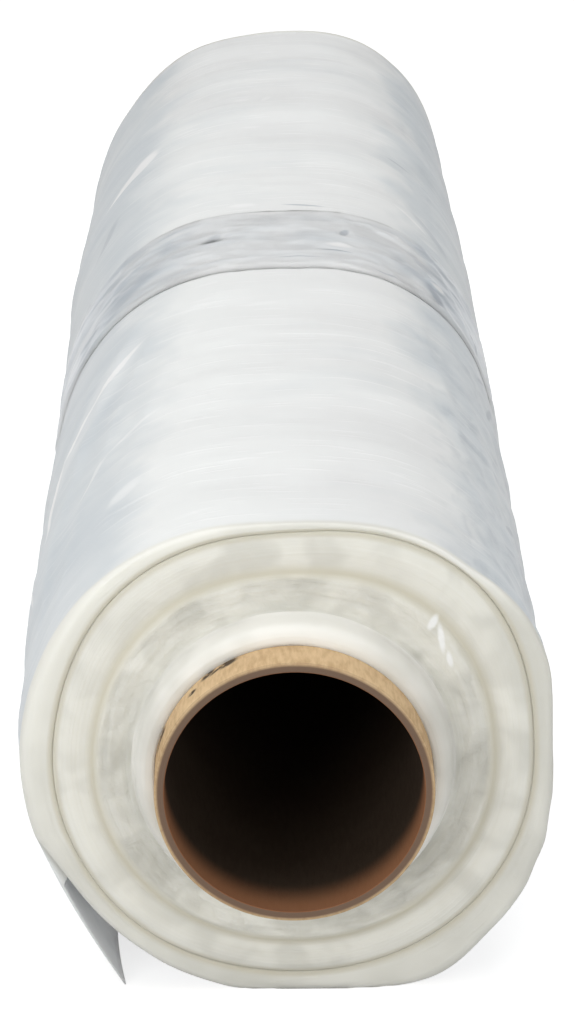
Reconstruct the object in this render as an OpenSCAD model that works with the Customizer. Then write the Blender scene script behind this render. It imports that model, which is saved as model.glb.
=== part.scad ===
// Roll of milky protective film, wound on a cardboard core and bound round its waist with clear film.
// It lies on a small flat spot with its core along Y. The origin is on the floor under the core's middle.
// Angles round the roll run clockwise from the top, as seen from the near end, which faces -Y.

/* [Core] */
// Bore of the cardboard core
core_bore = 76.2; // [50:0.1:90]
// Wall of the core
core_wall = 3; // [2:0.1:5]
// How far the core stands out of each end of the film
core_out = 24; // [12:1:60]

/* [Film] */
// Width of the film, which is the length of the wound roll
film_w = 625; // [450:5:1000]
// Radius of the tight turns
tight_r = 71.5; // [66:0.5:74]
// Thickness of the innermost turns that stand out as a collar
collar_t = 6; // [3:0.5:9]
// How far the collar stands out of the near face
collar_out = 10.5; // [4:0.5:16]
// Radius of the step between the inner and the outer pack of turns
step_r = 60; // [58:0.5:62]
// How far the inner pack stands out of the outer pack
step_out = 1.5; // [0.5:0.1:4]
// Depth of the shallow gaps between the packs of turns
gap_depth = 2; // [1:0.5:6]
// Width of the gap at the step
gap_w = 1.4; // [0.8:0.1:2]
// Clearance between the core and the film wound on it
core_fit = 0.1; // [0.05:0.01:0.3]

/* [Squash and slack] */
// Height of the wrap's layers that lie pressed flat between the tight turns and the floor
under_h = 6; // [4:0.5:8]
// Shoulder that the squashed turns bulge out to at the upper right
shoulder_right = 6; // [0:0.5:8]
// Shoulder at the upper left
shoulder_left = 2.5; // [0:0.5:5]
// How much the tight turns are pressed in over the floor
floor_press = 1.5; // [0:0.1:3]
// Slack of the loose outer wrap over the tight turns, at its tightest
slack_top = 2; // [1.5:0.1:4]
// Further slack where the wrap hangs off at the left
slack_left = 9.2; // [5:0.2:12]
// Further slack at the right
slack_right = 2.3; // [0:0.5:5]
// Further slack where the wrap sags to the floor at the lower right
slack_floor = 10; // [8:0.5:13]
// Soft corner that the sagging wrap comes to just over the floor
slack_corner = 2.5; // [0:0.5:4]
// Share of the slack that is left at the far end
far_slack = 0.75; // [0.5:0.05:1]
// How far the wrap's near rim flares out at the upper right
rim_flare = 2.5; // [0:0.5:4]
// How far the wrap's near rim closes in at the left
rim_close = 1.4; // [0:0.2:2.4]
// Height of the slow waves that run round the wrap
wave_h = 0.5; // [0:0.1:1.2]
// Height of the slanting folds at the left, between the near end and the waist band
fold_h = 1.6; // [0:0.1:3]

/* [Tail] */
// Thickness of the loose end of the film, a few layers
tail_t = 1; // [0.6:0.1:1.6]
// How far the turn beneath lies back from the loose end
tail_step = 2.2; // [1.6:0.1:3.5]
// How far the corner of the loose end lies to the left of the axis
tail_tip_x = 51; // [47:0.5:55]
// How far the loose end lies on the floor before it lifts
tail_floor_run = 90; // [40:5:120]

/* [Waist band] */
// Distance from the near end of the film to the band
band_start = 260; // [220:1:300]
// Width of the band of clear film
band_w = 76; // [60:1:140]
// Thickness of the band, several turns
band_t = 1.1; // [0.6:0.1:2]
// Clearance between the film and the band round it
band_fit = 0.15; // [0.1:0.01:0.3]
// Share of the slack that the band pulls in
band_pull = 0.12; // [0:0.02:0.3]
// Length over which the film draws in beside the band
band_draw = 40; // [20:5:100]
// Height of the crinkles in the band
crinkle_h = 1; // [0:0.1:1.6]

/* [Hidden] */

core_r = core_bore / 2 + core_wall;
core_l = film_w + 2 * core_out;
hole_r = core_r + core_fit;
collar_r = core_r + collar_t;
// Height of the core's axis over the floor
axis_h = tight_r - floor_press + under_h;
band_end = band_start + band_w;
// Rounding of the collar's rim, and of the wrap's own edges
collar_round = 0.6 * collar_t;
edge = 1.2;

// Columns of the lofts, with none between the loose end's seat on the roll and its root
pitch = 6;
tail_seat = 240;
tail_root = 252;
angles = [for (a = [0:pitch:359]) if (a <= tail_seat || a >= tail_root) a];
columns = len(angles);
seat_column = tail_seat / pitch;
root_column = seat_column + 1;

// Bulges round the roll: direction of the middle, and reach on both sides of it
right_shoulder = [40, 50];
left_shoulder = [322, 45];
flat_spot = [180, 50];
hang = [262, 110];
far_hang = [256, 60];
right_side = [73, 40];
sag = [143, 80];
corner = [148, 16];
flare = [64, 28];
close_in = [262, 90];
// Distance behind the near end over which its rim's flare fades, and where the roll starts to narrow
rim_reach = 45;
narrow_start = 400;
// Lengths of the two waves that run along the wrap
long_wave = 83;
short_wave = 58;
// The two slanting folds: direction at the near end, turn on the way to the band, and half width
fold_a = [278, 42, 12];
fold_b = [262, 46, 12];

// Smaller angle between two directions
function turn_gap(a, b) = abs((a - b + 900) % 360 - 180);
// Smooth hump of height 1 at a middle, which ends at a reach on both sides
function hump(gap, reach) = gap < reach ? pow(cos(90 * gap / reach), 2) : 0;
function bulge(a, b) = hump(turn_gap(a, b[0]), b[1]);
function mix(a, b, t) = a + (b - a) * t;
function spread(from, to, steps) = [for (i = [0:steps]) mix(from, to, i / steps)];

// What squashing adds to the radius of the outermost tight turn
function squash(a) =
    shoulder_right * bulge(a, right_shoulder)
    + shoulder_left * bulge(a, left_shoulder)
    - floor_press * bulge(a, flat_spot);
// Radius of the turn whose unsquashed radius is r: the collar stays round, and what lies outside it is squashed
function turn_r(r, a) = r + squash(a) * (r - collar_r) / (tight_r - collar_r);

// How far the band draws the wrap in: 1 under the band, 0 well away from it
function drawn(u) = hump(max(band_start - u, u - band_end, 0), band_draw);
// How far the roll has narrowed: 0 up to narrow_start, 1 at the far end
function narrowed(u) = u < narrow_start ? 0 : 1 - hump(u - narrow_start, film_w - narrow_start);
// How near the wrap's near rim is: 1 at the rim, 0 from rim_reach on
function rim(u) = hump(u, rim_reach);
function slack(u, a) =
    let (
        n = narrowed(u),
        pull = 1 - band_pull * drawn(u)
    )
    mix(1, far_slack, n) * pull * (
        slack_top
        + slack_left * bulge(a, mix(hang, far_hang, n))
        + slack_right * bulge(a, right_side) * (1 - n)
        + slack_floor * bulge(a, sag)
        + slack_corner * bulge(a, corner)
    );
// The step down from the film's loose end to the turn beneath it, which fades within tail_fade degrees
tail_fade = 36;
function step_back(u, a) = a > tail_seat ? 0 : tail_step * hump(tail_seat - a, tail_fade) * (1 - drawn(u));
function rim_shape(u, a) = rim(u) * (rim_flare * bulge(a, flare) - rim_close * bulge(a, close_in));
// Slow waves: the numbers in the sines only set where round the roll they fall
function waves(u, a) =
    wave_h * (
        0.6 * sin(360 * u / short_wave + 50 * sin(2 * a))
        + 0.4 * sin(360 * u / long_wave + 80 * sin(a + 30) + 120)
    );
function fold(f, t, a) = bulge(a, [f[0] + f[1] * t, f[2]]);
function folds(u, a) =
    let (t = u / band_start)
    t >= 1 ? 0 : fold_h * sin(180 * t) * (fold(fold_a, t, a) + 0.7 * fold(fold_b, t, a));
// Radius of the wrap's outside: neither the waves nor the folds reach under the band
function wrap_r(u, a) =
    turn_r(tight_r, a) + slack(u, a) + rim_shape(u, a) - step_back(u, a)
    + (waves(u, a) + folds(u, a)) * (1 - drawn(u));

// The film's underside: on the floor, and over the band's thickness where the band passes beneath
// The loft steps up to it within step_gap of the band, and is up from seat_lead before the band on
step_gap = 2;
seat_lead = 0.5;
function floor_z(u) = u > band_start - 2 * seat_lead && u < band_end + 2 * seat_lead ? band_t + band_fit : 0;

// Point at radius r and angle a, at distance u behind the film's near end, no lower than z_min
function at(r, u, a, z_min) = [r * sin(a), u - film_w / 2, max(axis_h + r * cos(a), z_min)];

// Foot of the collar's cone, width of the tight turns' broken edge, and rounding of the wrap's rim
collar_foot = 0.4;
broken_edge = 1;
rim_round = 0.5;

// Rings of the near face from the collar's rim outwards: radius of the turn and place along the axis
near_turns = [
    [collar_r - collar_round, -collar_out],
    [collar_r - 0.3 * collar_round, 0.3 * collar_round - collar_out],
    [collar_r, collar_round - collar_out],
    [collar_r + collar_foot, -step_out],
    [(collar_r + step_r) / 2, -step_out],
    [step_r - gap_w, -step_out],
    [step_r - gap_w / 2, gap_depth],
    [step_r + gap_w / 2, gap_depth],
    [step_r + gap_w, 0],
    [(step_r + tight_r) / 2, 0],
    [tight_r - broken_edge, 0],
    [tight_r, gap_depth]
];
// Rings across the loose wrap: share of its slack and place along the axis
near_wrap = [[0.3, gap_depth], [0.45, rim_round], [0.75, 0], [0.95, 0.8 * rim_round]];
// The far face is finished plainly: the same gap round the tight turns and a flat pack
far_wrap = [[0.95, 0.8 * rim_round], [0.45, rim_round], [0.3, gap_depth]];
far_turns = [[tight_r, gap_depth], [tight_r - broken_edge, 0], [step_r, 0], [collar_r, 0]];

// Unevenness of the wound edges: heights of a coarse and a fine wave, and how far out each has turned once round
coarse_h = 0.5;
fine_h = 0.4;
coarse_turn = 40;
fine_turn = 16;
function uneven(r, a) =
    coarse_h * sin(3 * a + 360 * r / coarse_turn)
    + fine_h * sin(7 * a + 360 * r / fine_turn);

// Distances of the loft's rings behind the near end: the open wrap, the band's seat, and the open wrap again
near_steps = 20;
seat_steps = 6;
far_steps = 23;
first_step = 9;
wrap_rings = concat(
    [edge],
    spread(first_step, band_start - step_gap, near_steps),
    spread(band_start - seat_lead, band_end + seat_lead, seat_steps),
    spread(band_end + step_gap, film_w - first_step, far_steps),
    [film_w - edge]
);

function ring(r_list, u_list) = [for (j = [0:columns - 1]) at(r_list[j], u_list[j], angles[j], 0)];
function turn_ring(r, u, rough) = ring(
    [for (a = angles) turn_r(r, a)],
    [for (a = angles) u + rough * uneven(r, a)]
);
function share_ring(share, end_u, u) = ring(
    [for (a = angles) mix(turn_r(tight_r, a), wrap_r(end_u, a), share)],
    [for (a = angles) u]
);

near_face_rings = concat(
    [for (i = [0:len(near_turns) - 1]) turn_ring(near_turns[i][0], near_turns[i][1], near_turns[i][0] > collar_r ? 1 : 0)],
    [for (w = near_wrap) share_ring(w[0], edge, w[1])]
);
body_rings = [for (u = wrap_rings) [for (a = angles) at(wrap_r(u, a), u, a, floor_z(u))]];
far_face_rings = concat(
    [for (w = far_wrap) share_ring(w[0], film_w - edge, film_w - w[1])],
    [for (t = far_turns) turn_ring(t[0], film_w - t[1], t[0] > collar_r ? 1 : 0)]
);
film_rings = concat(near_face_rings, body_rings, far_face_rings);
first_body = len(near_face_rings);

// The loose end of the film: a strip that leaves the roll at the left, lies on the floor, and lifts to the band
tail_columns = 5;
tail_rings = near_steps;
// Direction in which the strip's cut edge lies once it is back on the roll, and the gap beneath it there
tail_end = 228;
tail_gap = 0.5;
// How far the strip bows out of its straight line, and how far its cut edge drifts out along the floor
tail_bow = 1.5;
tail_drift = 8;
// Where along the strip its inside parts from the roll
tail_part = 0.35;
function tail_lift(u) =
    u < tail_floor_run ? 0 : pow((u - tail_floor_run) / (band_start - tail_floor_run), 1.5);
function tail_on_floor(u, t) =
    let (
        root = at(wrap_r(u, tail_root), u, tail_root, 0),
        tip = [-tail_tip_x - tail_drift * min(u / tail_floor_run, 1), u - film_w / 2, 0]
    )
    mix(root, tip, t) - [tail_bow * sin(180 * t), 0, 0];
function tail_on_roll(u, t) =
    let (a = mix(tail_root, tail_end, t))
    at(wrap_r(u, a) + (tail_t + tail_gap) * min(t / tail_part, 1), u, a, 0);
function tail_outer(u, t) = mix(tail_on_floor(u, t), tail_on_roll(u, t), tail_lift(u));
function tail_inner(u, t) =
    let (
        run = tail_outer(u, 1) - tail_outer(u, 0),
        side = [-run[2], 0, run[0]] / norm([run[0], run[2]])
    )
    tail_outer(u, t) + side * tail_t;
// One ring of the strip, from its seat on the roll down its inside to the tip and up its outside
function tail_ring(u) = concat(
    [for (k = [1:tail_columns]) tail_inner(u, mix(tail_part, 1, (k - 1) / (tail_columns - 1)))],
    [for (k = [tail_columns:-1:1]) tail_outer(u, k / tail_columns)]
);
tail_points = [for (i = [0:tail_rings]) for (p = tail_ring(wrap_rings[i])) p];

film_points = concat([for (r = film_rings) for (p = r) p], tail_points);
tail_first = len(film_rings) * columns;

// Two triangles of a four-cornered patch
function patch(p) = [[p[0], p[1], p[2]], [p[0], p[2], p[3]]];
function patches(list) = [for (p = list) for (t = patch(p)) t];
// Index of a point on the roll, or on the tail's strip with the roll's columns at its two ends
function on_roll(k, j) = k * columns + j % columns;
function on_tail(i, c) =
    c == 0 ? on_roll(first_body + i, seat_column)
    : c == 2 * tail_columns + 1 ? on_roll(first_body + i, root_column)
    : tail_first + i * 2 * tail_columns + c - 1;
function under_tail(k, j) = j == seat_column && k >= first_body && k < first_body + tail_rings;

roll_patches = [
    for (k = [0:len(film_rings) - 2], j = [0:columns - 1])
        if (!under_tail(k, j)) [on_roll(k, j), on_roll(k + 1, j), on_roll(k + 1, j + 1), on_roll(k, j + 1)]
];
tail_patches = [
    for (i = [0:tail_rings - 1], c = [0:2 * tail_columns])
        [on_tail(i, c), on_tail(i + 1, c), on_tail(i + 1, c + 1), on_tail(i, c + 1)]
];
// The strip's cut faces at the near end and beside the band
tail_ends = [
    for (end = [0, 1], c = [0:tail_columns - 1])
        let (
            i = end * tail_rings,
            last = 2 * tail_columns + 1,
            face = [on_tail(i, c), on_tail(i, c + 1), on_tail(i, last - c - 1), on_tail(i, last - c)]
        )
        end == 0 ? face : [face[3], face[2], face[1], face[0]]
];
film_faces = concat(
    patches(concat(roll_patches, tail_patches, tail_ends)),
    [[for (j = [0:columns - 1]) j]],
    [[for (j = [columns - 1:-1:0]) on_roll(len(film_rings) - 1, j)]]
);

// The band's crinkles: two sets of slanting ridges that cross, smoothed out towards its edges
function crinkles(u, a) =
    let (t = (u - band_start) / band_w)
    crinkle_h * sin(180 * t) * (0.5 + 0.3 * sin(5 * a + 700 * t) + 0.2 * sin(11 * a - 900 * t));
band_steps = 8;
band_us = spread(band_start, band_end, band_steps);
band_inside = [
    for (u = [band_end, band_start])
        [for (a = angles) at(wrap_r(u, a) + band_fit, u, a, band_t)]
];
band_outside = [
    for (u = band_us)
        [for (a = angles) at(wrap_r(u, a) + band_fit + band_t + crinkles(u, a), u, a, 0)]
];
band_rings = concat(band_outside, band_inside);
band_points = [for (r = band_rings) for (p = r) p];
band_faces = patches([
    for (k = [0:len(band_rings) - 1], j = [0:columns - 1])
        let (n = (k + 1) % len(band_rings))
        [on_roll(k, j), on_roll(n, j), on_roll(n, j + 1), on_roll(k, j + 1)]
]);

// How much longer than the core the cylinders are that cut through it or through the film
cut_over = 2;
// Places a cylinder along the roll's axis, centred on its length
module along_axis() {
    translate([0, 0, axis_h]) rotate([90, 0, 0]) children();
}

module core() {
    color("peru")
    along_axis()
    difference() {
        cylinder(r = core_r, h = core_l, center = true, $fn = 96);
        cylinder(d = core_bore, h = core_l + cut_over, center = true, $fn = 96);
    }
}

module film_roll() {
    color("whitesmoke")
    difference() {
        polyhedron(points = film_points, faces = film_faces, convexity = 6);
        along_axis() cylinder(r = hole_r, h = core_l + cut_over, center = true, $fn = 96);
    }
}

module waist_band() {
    color("lightsteelblue")
    polyhedron(points = band_points, faces = band_faces, convexity = 4);
}

core();
film_roll();
waist_band();
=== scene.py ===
"""Roll of milky protective film on a cardboard core, laid out as a Blender add-on and run as a script.

The shape functions work in millimetres and follow the part's source. A mesh is turned into metres when it is
made. Angles are in degrees, clockwise from the top as seen from the near end of the roll, which faces -Y. A
place along the roll is its distance behind the near end of the film.
"""
import math

import bpy
import numpy as np
from bpy.props import FloatProperty, FloatVectorProperty, PointerProperty
from bpy.types import Operator, Panel, PropertyGroup
from mathutils import Matrix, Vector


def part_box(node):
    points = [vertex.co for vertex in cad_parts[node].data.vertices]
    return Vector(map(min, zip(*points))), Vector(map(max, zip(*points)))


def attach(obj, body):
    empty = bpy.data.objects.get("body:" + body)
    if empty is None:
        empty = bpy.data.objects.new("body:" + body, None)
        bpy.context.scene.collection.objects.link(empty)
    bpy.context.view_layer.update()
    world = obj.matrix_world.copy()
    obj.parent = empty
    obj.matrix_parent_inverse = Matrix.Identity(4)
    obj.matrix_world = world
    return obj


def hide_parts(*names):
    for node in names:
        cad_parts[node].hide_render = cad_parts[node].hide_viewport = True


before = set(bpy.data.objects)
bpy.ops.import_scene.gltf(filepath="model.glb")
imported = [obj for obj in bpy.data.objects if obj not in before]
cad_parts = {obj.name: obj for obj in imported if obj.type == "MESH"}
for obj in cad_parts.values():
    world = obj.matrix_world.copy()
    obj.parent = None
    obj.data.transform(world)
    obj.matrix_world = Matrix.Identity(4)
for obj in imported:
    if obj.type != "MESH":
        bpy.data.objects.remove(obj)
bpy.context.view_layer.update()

bl_info = {
    "name": "Protective film roll",
    "version": (1, 0, 0),
    "blender": (4, 5, 0),
    "location": "3D View > Sidebar > Film Roll",
    "description": "Builds a soft roll of milky film on a cardboard core, bound round its waist",
    "category": "Add Mesh",
}

MM = 0.001

# Sizes of the part's source, in millimetres
CORE_BORE_R = 38.1
CORE_R = 41.1
CORE_OUT = 24.0
FILM_W = 625.0
HOLE_R = 41.2
TIGHT_R = 71.5
COLLAR_R = 47.1
STEP_OUT = 1.5
AXIS_H = 76.0
SHOULDER_RIGHT, SHOULDER_LEFT, FLOOR_PRESS = 6.0, 2.5, 1.5
SLACK_TOP, SLACK_LEFT, SLACK_RIGHT, SLACK_FLOOR, SLACK_CORNER = 2.0, 9.2, 2.3, 10.0, 2.5
FAR_SLACK = 0.75
RIM_FLARE, RIM_CLOSE, RIM_REACH = 2.5, 1.4, 45.0
NARROW_START = 400.0
WAVE_H, LONG_WAVE, SHORT_WAVE = 0.5, 83.0, 58.0
FOLD_H = 1.6
TAIL_T, TAIL_STEP, TAIL_TIP_X, TAIL_FLOOR_RUN = 1.0, 2.2, 51.0, 90.0
TAIL_SEAT, TAIL_ROOT, TAIL_END, TAIL_FADE = 240.0, 252.0, 228.0, 36.0
TAIL_GAP, TAIL_BOW, TAIL_DRIFT, TAIL_PART = 0.5, 1.5, 8.0, 0.35
BAND_START, BAND_W, BAND_T, BAND_FIT = 260.0, 76.0, 1.1, 0.15
BAND_END = BAND_START + BAND_W
BAND_PULL, BAND_DRAW = 0.12, 40.0
CRINKLE_H = 1.0
COARSE_H, FINE_H, COARSE_TURN, FINE_TURN = 0.5, 0.4, 40.0, 16.0

# Angle at which the maps of the turns and of the band start, so that their seams lie at the bottom
MAP_START = 180.0

# Bulges round the roll: direction of the middle, and reach on both sides of it
RIGHT_SHOULDER, LEFT_SHOULDER, FLAT_SPOT = (40, 50), (322, 45), (180, 50)
HANG, FAR_HANG, RIGHT_SIDE, SAG, CORNER = (262, 110), (256, 60), (73, 40), (143, 80), (148, 16)
FLARE, CLOSE_IN = (64, 28), (262, 90)
FOLD_A, FOLD_B = (278, 42, 12), (262, 46, 12)


# Shape of the roll

def turn_gap(a, b):
    """Smaller angle between two directions."""
    return np.abs((a - b + 900.0) % 360.0 - 180.0)


def hump(gap, reach):
    """Smooth hump of height 1 at a middle, which ends at a reach on both sides."""
    share = np.minimum(gap / reach, 1.0)
    return np.cos(np.radians(90.0 * share)) ** 2


def bulge(a, where):
    return hump(turn_gap(a, where[0]), where[1])


def mix(a, b, t):
    return a + (b - a) * t


def sin_d(a):
    return np.sin(np.radians(a))


def cos_d(a):
    return np.cos(np.radians(a))


def squash(a):
    """What squashing adds to the radius of the outermost tight turn."""
    return (SHOULDER_RIGHT * bulge(a, RIGHT_SHOULDER) + SHOULDER_LEFT * bulge(a, LEFT_SHOULDER)
            - FLOOR_PRESS * bulge(a, FLAT_SPOT))


def turn_r(r, a):
    """Radius of the squashed turn whose unsquashed radius is r."""
    return r + squash(a) * (r - COLLAR_R) / (TIGHT_R - COLLAR_R)


def drawn(u):
    """How far the band draws the wrap in: 1 under the band, 0 well away from it."""
    return hump(np.maximum(np.maximum(BAND_START - u, u - BAND_END), 0.0), BAND_DRAW)


def narrowed(u):
    """How far the roll has narrowed towards its far end."""
    past = np.maximum(u - NARROW_START, 0.0)
    return np.where(u < NARROW_START, 0.0, 1.0 - hump(past, FILM_W - NARROW_START))


def slack(u, a):
    n = narrowed(u)
    hang = (mix(HANG[0], FAR_HANG[0], n), mix(HANG[1], FAR_HANG[1], n))
    loose = (SLACK_TOP + SLACK_LEFT * bulge(a, hang) + SLACK_RIGHT * bulge(a, RIGHT_SIDE) * (1 - n)
             + SLACK_FLOOR * bulge(a, SAG) + SLACK_CORNER * bulge(a, CORNER))
    return mix(1.0, FAR_SLACK, n) * (1 - BAND_PULL * drawn(u)) * loose


def step_back(u, a):
    """The step down from the film's loose end to the turn beneath it."""
    turned = a % 360.0
    step = TAIL_STEP * hump(np.maximum(TAIL_SEAT - turned, 0.0), TAIL_FADE) * (1 - drawn(u))
    return np.where(turned > TAIL_SEAT, 0.0, step)


def rim_shape(u, a):
    return hump(u, RIM_REACH) * (RIM_FLARE * bulge(a, FLARE) - RIM_CLOSE * bulge(a, CLOSE_IN))


def waves(u, a):
    return WAVE_H * (0.6 * sin_d(360 * u / SHORT_WAVE + 50 * sin_d(2 * a))
                     + 0.4 * sin_d(360 * u / LONG_WAVE + 80 * sin_d(a + 30) + 120))


def folds(u, a):
    t = np.minimum(u / BAND_START, 1.0)
    first = bulge(a, (FOLD_A[0] + FOLD_A[1] * t, FOLD_A[2]))
    second = bulge(a, (FOLD_B[0] + FOLD_B[1] * t, FOLD_B[2]))
    return FOLD_H * sin_d(180 * t) * (first + 0.7 * second)


def wrap_r(u, a):
    """Radius of the wrap's outside, as in the part's source."""
    return (turn_r(TIGHT_R, a) + slack(u, a) + rim_shape(u, a) - step_back(u, a)
            + (waves(u, a) + folds(u, a)) * (1 - drawn(u)))


def uneven(r, a):
    """Unevenness of the wound edges: coarse and fine waves, which differ from turn to turn."""
    return COARSE_H * sin_d(3 * a + 360 * r / COARSE_TURN) + FINE_H * sin_d(7 * a + 360 * r / FINE_TURN)


def at(r, u, a, z_min=0.0):
    """Points at radius r and angle a, at distance u behind the film's near end, no lower than z_min."""
    r, u, a, z_min = np.broadcast_arrays(r, u, a, z_min)
    return np.stack([r * sin_d(a), u - FILM_W / 2, np.maximum(AXIS_H + r * cos_d(a), z_min)], -1)


def smooth(value, low, high):
    """Soft step from 0 at low to 1 at high."""
    share = np.clip((value - low) / (high - low), 0, 1)
    return share * share * (3 - 2 * share)


def from_top(a):
    """Angle from the top, from -180 at the left through 0 to 180 at the right."""
    return (a + 180.0) % 360.0 - 180.0


class SoftNoise:
    """Smooth random heights from -1 to 1 round the roll and along it, the same on every run."""

    def __init__(self, seed, round_cells, along_cells):
        self.grid = np.random.default_rng(seed).uniform(-1, 1, (along_cells + 2, round_cells))

    def __call__(self, a, v):
        """Height at angle a in degrees and place v from 0 to 1."""
        rows, cols = self.grid.shape
        x = (a % 360.0) / 360.0 * cols
        y = np.clip(v, 0, 1) * (rows - 2)
        x0, y0 = np.floor(x).astype(int), np.floor(y).astype(int)
        fx, fy = x - x0, y - y0
        fx, fy = fx * fx * (3 - 2 * fx), fy * fy * (3 - 2 * fy)
        x0, x1 = x0 % cols, (x0 + 1) % cols
        top = mix(self.grid[y0, x0], self.grid[y0, x1], fx)
        low = mix(self.grid[y0 + 1, x0], self.grid[y0 + 1, x1], fx)
        return mix(top, low, fy)


# Meshes

def mesh_piece(name, points_mm, quads, materials, map_mm, map_turn, marks, face_slots=None, flat_from=None):
    """A closed piece from quads, smooth up to the face numbered flat_from.

    Its map and its marks have a value for each point. Round the roll, the map comes again after map_turn.
    """
    mesh = bpy.data.meshes.new(name)
    quads = np.asarray(quads)
    mesh.from_pydata((np.asarray(points_mm) * MM).tolist(), [], quads.tolist())
    for m in materials:
        mesh.materials.append(m)
    if face_slots is not None:
        mesh.polygons.foreach_set("material_index", np.asarray(face_slots, dtype=np.int32))
    smooth_faces = np.arange(len(quads)) < (len(quads) if flat_from is None else flat_from)
    mesh.polygons.foreach_set("use_smooth", smooth_faces)
    corner = np.asarray(map_mm)[quads] * MM
    turn = map_turn * MM
    span = corner[:, :, 0].max(1) - corner[:, :, 0].min(1)
    low = corner[:, :, 0] < corner[:, :, 0].max(1)[:, None] - turn / 2
    corner[:, :, 0] += np.where((span > turn / 2)[:, None] & low, turn, 0.0)
    layer = mesh.uv_layers.new(name="unrolled")
    layer.data.foreach_set("uv", corner.reshape(-1))
    for mark, values in marks.items():
        attribute = mesh.attributes.new(mark, "FLOAT", "POINT")
        attribute.data.foreach_set("value", np.asarray(values, dtype=np.float32))
    mesh.validate(clean_customdata=False)
    mesh.update()
    piece = bpy.data.objects.new(name, mesh)
    bpy.context.collection.objects.link(piece)
    return piece


def ring_quads(rings, columns, skip=None):
    """Quads from each closed ring of points to the next, and from the last to the first, facing outwards."""
    quads = []
    for k in range(rings):
        here, there = k * columns, (k + 1) % rings * columns
        for j in range(columns):
            if skip is None or not skip(k, j):
                n = (j + 1) % columns
                quads.append((here + n, there + n, there + j, here + j))
    return quads


# Materials

def put(tree, socket, value):
    """Gives a socket a value, or joins the output of another node to it."""
    if isinstance(value, bpy.types.NodeSocket):
        tree.links.new(value, socket)
    else:
        socket.default_value = value


def add_node(tree, kind, inputs=None, **settings):
    """A node of a tree with its settings. An input is a value, or the output of another node."""
    n = tree.nodes.new(kind)
    for key, value in settings.items():
        setattr(n, key, value)
    for key, value in (inputs or {}).items():
        put(tree, n.inputs[key], value)
    return n


class Look:
    """A material, and short ways to add nodes to it and join them."""

    def __init__(self, name):
        self.material = bpy.data.materials.new(name)
        self.material.use_nodes = True
        self.tree = self.material.node_tree
        self.shader = self.tree.nodes["Principled BSDF"]

    def node(self, kind, inputs=None, **settings):
        return add_node(self.tree, kind, inputs, **settings)

    def math(self, operation, a, b=0.0, c=0.0, clamp=False):
        inputs = {0: a, 1: b, 2: c}
        return self.node("ShaderNodeMath", inputs, operation=operation, use_clamp=clamp).outputs[0]

    def times(self, a, b):
        return self.math("MULTIPLY", a, b)

    def times_plus(self, a, b, c, clamp=False):
        return self.math("MULTIPLY_ADD", a, b, c, clamp)

    def less(self, a, b, clamp=False):
        return self.math("SUBTRACT", a, b, clamp=clamp)

    def noise(self, place, scale, detail=2.0, roughness=0.5, distortion=0.0):
        n = self.node("ShaderNodeTexNoise", {"Vector": place, "Scale": scale, "Detail": detail,
                                             "Roughness": roughness, "Distortion": distortion})
        return n.outputs["Fac"]

    def streaks(self, place, stretch, detail, roughness, distortion=0.0, turn=(0, 0, 0)):
        """Noise on a place that is turned and stretched first."""
        mapped = self.node("ShaderNodeMapping", {"Vector": place, "Scale": stretch, "Rotation": turn})
        return self.noise(mapped.outputs[0], 1.0, detail, roughness, distortion)

    def blend(self, share, a, b):
        n = self.node("ShaderNodeMix", data_type="RGBA")
        put(self.tree, n.inputs["Factor"], share)
        for key, value in (("A", a), ("B", b)):
            socket = [s for s in n.inputs if s.name == key and s.type == "RGBA"][0]
            put(self.tree, socket, value if isinstance(value, bpy.types.NodeSocket) else (*value, 1))
        return [s for s in n.outputs if s.type == "RGBA"][0]

    def bump(self, height, distance, strength):
        inputs = {"Height": height, "Distance": distance, "Strength": strength}
        return self.node("ShaderNodeBump", inputs).outputs[0]

    def soft_step(self, value, low, high):
        n = self.node("ShaderNodeMapRange", {"Value": value, "From Min": low, "From Max": high},
                      interpolation_type="SMOOTHSTEP")
        return n.outputs["Result"]

    def spot(self, place, middle, half, turn=0.0):
        """An oval mark with a soft edge: middle and half sizes in millimetres on the map, turn in degrees."""
        n = self.node("ShaderNodeMapping", {
            "Vector": place, "Location": (middle[0] * MM, middle[1] * MM, 0),
            "Rotation": (0, 0, math.radians(turn)), "Scale": (half[0] * MM, half[1] * MM, 1),
        }, vector_type="TEXTURE")
        length = self.node("ShaderNodeVectorMath", {0: n.outputs[0]}, operation="LENGTH").outputs["Value"]
        return self.soft_step(length, 1.0, 1.0 - SPOT_SOFT)

    def strokes(self, place, radius, marks):
        """Sum of soft strokes on a map, each with its start, end, half width and strength."""
        parts = []
        for (a0, u0), (a1, u1), half, strength in marks:
            x0, x1 = (math.radians(360.0 + v) * radius for v in (a0, a1))
            long = math.hypot(x1 - x0, u1 - u0)
            turn = math.degrees(math.atan2(x0 - x1, u1 - u0))
            wide = half * STROKE_SPREAD
            mask = self.spot(place, ((x0 + x1) / 2, (u0 + u1) / 2), (wide, long / 2 + wide), turn)
            parts.append(self.times(mask, strength))
        return self.total(parts)

    def total(self, values):
        """Sum of masks, no more than 1."""
        out = values[0]
        for v in values[1:]:
            out = self.math("ADD", out, v, clamp=True)
        return out

    def object_place(self):
        return self.node("ShaderNodeTexCoord").outputs["Object"]

    def map_place(self):
        return self.node("ShaderNodeUVMap", uv_map="unrolled").outputs[0]

    def mark(self, name):
        return self.node("ShaderNodeAttribute", attribute_name=name).outputs["Fac"]

    def finish(self, colour, roughness, normal=None, more=None):
        s = self.shader.inputs
        put(self.tree, s["Base Color"], colour if isinstance(colour, bpy.types.NodeSocket) else (*colour, 1))
        put(self.tree, s["Roughness"], roughness)
        if normal is not None:
            put(self.tree, s["Normal"], normal)
        for key, value in (more or {}).items():
            s[key].default_value = value
        return self.material


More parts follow.
